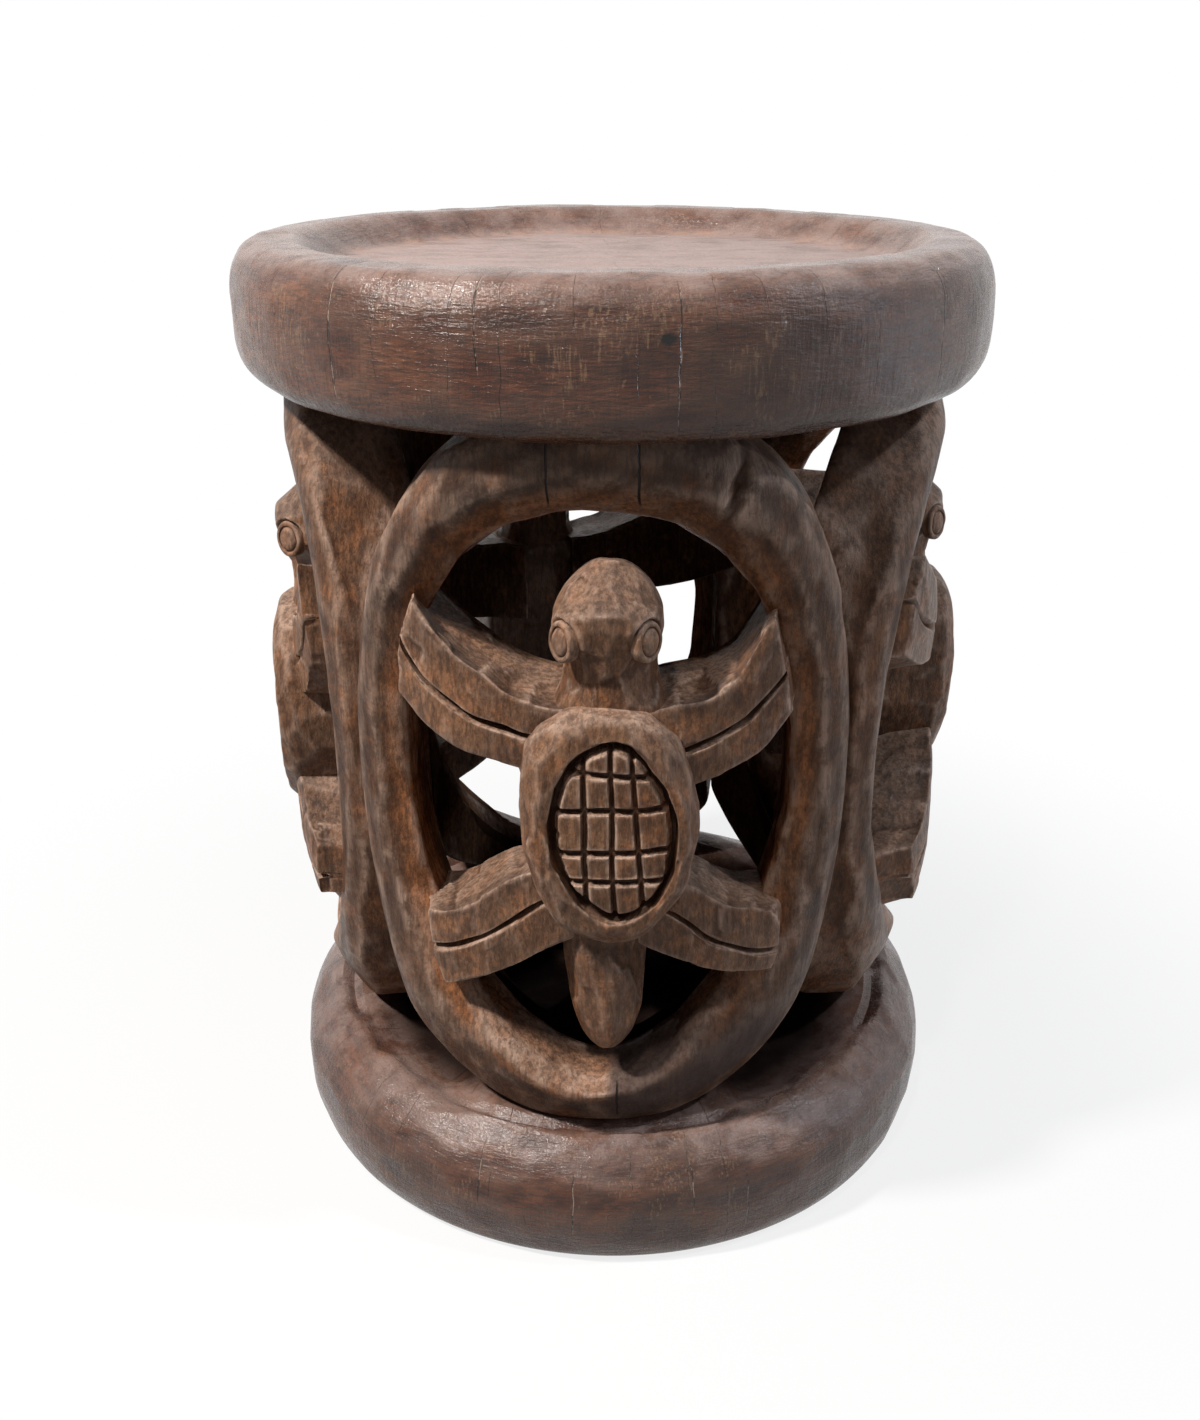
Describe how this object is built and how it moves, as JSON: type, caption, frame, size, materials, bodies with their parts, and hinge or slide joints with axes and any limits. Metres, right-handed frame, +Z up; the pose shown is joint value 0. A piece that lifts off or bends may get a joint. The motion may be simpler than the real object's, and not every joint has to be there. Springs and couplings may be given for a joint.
{
  "type": "african drum table",
  "caption": "Carved African drum table: round tray top and round base joined by a pierced cage of oval hoops, each holding a turtle.",
  "frame": {"origin": "centre of the flat underside of the base", "axes": "+Z up through the middle of the top; -Y is the front, where the front bay's turtle faces; +X is the front viewer's right"},
  "size_m": [0.3713, 0.3685, 0.478],
  "materials": {
    "rim_wood": "dark reddish-brown, waxed",
    "hoop_wood": "dark brown, dry with sooty bands",
    "turtle_wood": "orange-brown, dry and chiselled"
  },
  "bodies": {
    "root": {"base": "rim_wood", "hoop_back": "hoop_wood", "hoop_front": "hoop_wood", "hoop_left": "hoop_wood", "hoop_right": "hoop_wood", "table_top": "rim_wood", "turtle_back_head": "turtle_wood", "turtle_back_left_eye": "turtle_wood", "turtle_back_left_front_flipper": "turtle_wood", "turtle_back_left_hind_flipper": "turtle_wood", "turtle_back_right_eye": "turtle_wood", "turtle_back_right_front_flipper": "turtle_wood", "turtle_back_right_hind_flipper": "turtle_wood", "turtle_back_shell": "turtle_wood", "turtle_back_shell_plate": "turtle_wood", "turtle_back_tail": "turtle_wood", "turtle_front_head": "turtle_wood", "turtle_front_left_eye": "turtle_wood", "turtle_front_left_front_flipper": "turtle_wood", "turtle_front_left_hind_flipper": "turtle_wood", "turtle_front_right_eye": "turtle_wood", "turtle_front_right_front_flipper": "turtle_wood", "turtle_front_right_hind_flipper": "turtle_wood", "turtle_front_shell": "turtle_wood", "turtle_front_shell_plate": "turtle_wood", "turtle_front_tail": "turtle_wood", "turtle_left_head": "turtle_wood", "turtle_left_left_eye": "turtle_wood", "turtle_left_left_front_flipper": "turtle_wood", "turtle_left_left_hind_flipper": "turtle_wood", "turtle_left_right_eye": "turtle_wood", "turtle_left_right_front_flipper": "turtle_wood", "turtle_left_right_hind_flipper": "turtle_wood", "turtle_left_shell": "turtle_wood", "turtle_left_shell_plate": "turtle_wood", "turtle_left_tail": "turtle_wood", "turtle_right_head": "turtle_wood", "turtle_right_left_eye": "turtle_wood", "turtle_right_left_front_flipper": "turtle_wood", "turtle_right_left_hind_flipper": "turtle_wood", "turtle_right_right_eye": "turtle_wood", "turtle_right_right_front_flipper": "turtle_wood", "turtle_right_right_hind_flipper": "turtle_wood", "turtle_right_shell": "turtle_wood", "turtle_right_shell_plate": "turtle_wood", "turtle_right_tail": "turtle_wood"}
  },
  "joints": []
}
